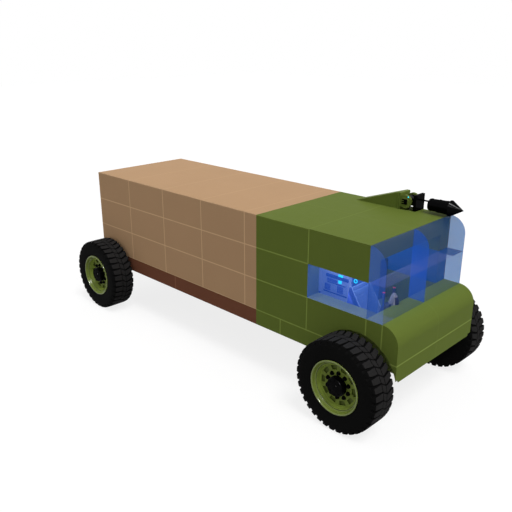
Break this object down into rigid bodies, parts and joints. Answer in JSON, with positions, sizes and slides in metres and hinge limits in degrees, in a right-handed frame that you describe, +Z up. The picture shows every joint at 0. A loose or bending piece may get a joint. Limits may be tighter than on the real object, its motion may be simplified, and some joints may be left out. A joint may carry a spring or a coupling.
{
  "type": "military cargo truck",
  "caption": "Military cargo truck with a blocky green cab, thick blue glass, closed tan cargo box, brown sill, large lugged tyres and a hinged arm on the roof.",
  "frame": {"origin": "on the ground, on the centre line, midway between the two axles", "axes": "+X forward, +Y to the truck's left, +Z up"},
  "size_m": [7.06, 2.94, 2.78],
  "materials": {
    "green_paint": "matt",
    "tan_paint": "matt",
    "brown_paint": "matt",
    "black_steel": "satin",
    "glass": "clear",
    "rubber": "matt",
    "grey_plastic": "satin",
    "seat_fabric": "matt"
  },
  "bodies": {
    "truck": {"frame_rail_left": "black_steel", "frame_rail_right": "black_steel", "cross_members": "brown_paint", "sill_left": "brown_paint", "sill_right": "brown_paint", "front_axle": "black_steel", "rear_axle": "black_steel", "leaf_springs": "black_steel", "powertrain": "black_steel", "propshafts": "black_steel", "box_floor": "tan_paint", "box_side_left": "tan_paint", "box_side_right": "tan_paint", "box_front_wall": "tan_paint", "box_roof": "tan_paint", "cab_floor": "green_paint", "cab_side_left": "green_paint", "cab_side_right": "green_paint", "cab_rear_wall": "green_paint", "cab_roof": "green_paint", "cab_nose": "green_paint", "side_glass_left": "glass", "side_glass_right": "glass", "windscreen_lower": "glass", "windscreen_upper": "glass", "seat_shell": "grey_plastic", "seat_cushions": "seat_fabric", "control_console": "grey_plastic", "equipment_cabinet": "grey_plastic", "roof_wedge": "green_paint", "roof_hinge_base": "green_paint"},
    "knuckle_left": {"knuckle_left": "black_steel"},
    "knuckle_right": {"knuckle_right": "black_steel"},
    "wheel_front_left": {"tyre_front_left": "rubber", "wheel_front_left": "green_paint"},
    "wheel_front_right": {"tyre_front_right": "rubber", "wheel_front_right": "green_paint"},
    "wheel_rear_left": {"tyre_rear_left": "rubber", "wheel_rear_left": "green_paint"},
    "wheel_rear_right": {"tyre_rear_right": "rubber", "wheel_rear_right": "green_paint"},
    "rear_door_left": {"rear_door_left": "tan_paint"},
    "rear_door_right": {"rear_door_right": "tan_paint"},
    "roof_arm": {"arm_yoke": "black_steel", "arm_tool": "black_steel"}
  },
  "joints": [
    {"name": "steer_right", "type": "hinge", "parent": "truck", "child": "knuckle_right", "pos_m": [2.875, -1.25, 0.655], "axis": [0, 0, 1], "range_deg": [-24, 24]},
    {"name": "steer_left", "type": "hinge", "parent": "truck", "child": "knuckle_left", "pos_m": [2.875, 1.25, 0.655], "axis": [0, 0, 1], "range_deg": [-24, 24]},
    {"name": "wheel_front_left_spin", "type": "hinge", "parent": "knuckle_left", "child": "wheel_front_left", "pos_m": [2.875, 1.25, 0.655], "axis": [0, 1, 0], "continuous": true},
    {"name": "wheel_front_right_spin", "type": "hinge", "parent": "knuckle_right", "child": "wheel_front_right", "pos_m": [2.875, -1.25, 0.655], "axis": [0, 1, 0], "continuous": true},
    {"name": "wheel_rear_left_spin", "type": "hinge", "parent": "truck", "child": "wheel_rear_left", "pos_m": [-2.875, 1.25, 0.655], "axis": [0, 1, 0], "continuous": true},
    {"name": "wheel_rear_right_spin", "type": "hinge", "parent": "truck", "child": "wheel_rear_right", "pos_m": [-2.875, -1.25, 0.655], "axis": [0, 1, 0], "continuous": true},
    {"name": "rear_door_left_hinge", "type": "hinge", "parent": "truck", "child": "rear_door_left", "pos_m": [-3.27, 0.954, 1.7], "axis": [0, 0, -1], "range_deg": [0, 90]},
    {"name": "rear_door_right_hinge", "type": "hinge", "parent": "truck", "child": "rear_door_right", "pos_m": [-3.27, -0.954, 1.7], "axis": [0, 0, 1], "range_deg": [0, 90]},
    {"name": "roof_arm_hinge", "type": "hinge", "parent": "truck", "child": "roof_arm", "pos_m": [2.375, 0.875, 2.655], "axis": [0, -1, 0], "range_deg": [0, 90]}
  ],
  "couplings": [
    {"joint": "steer_left", "follows": "steer_right", "ratio": 1}
  ]
}
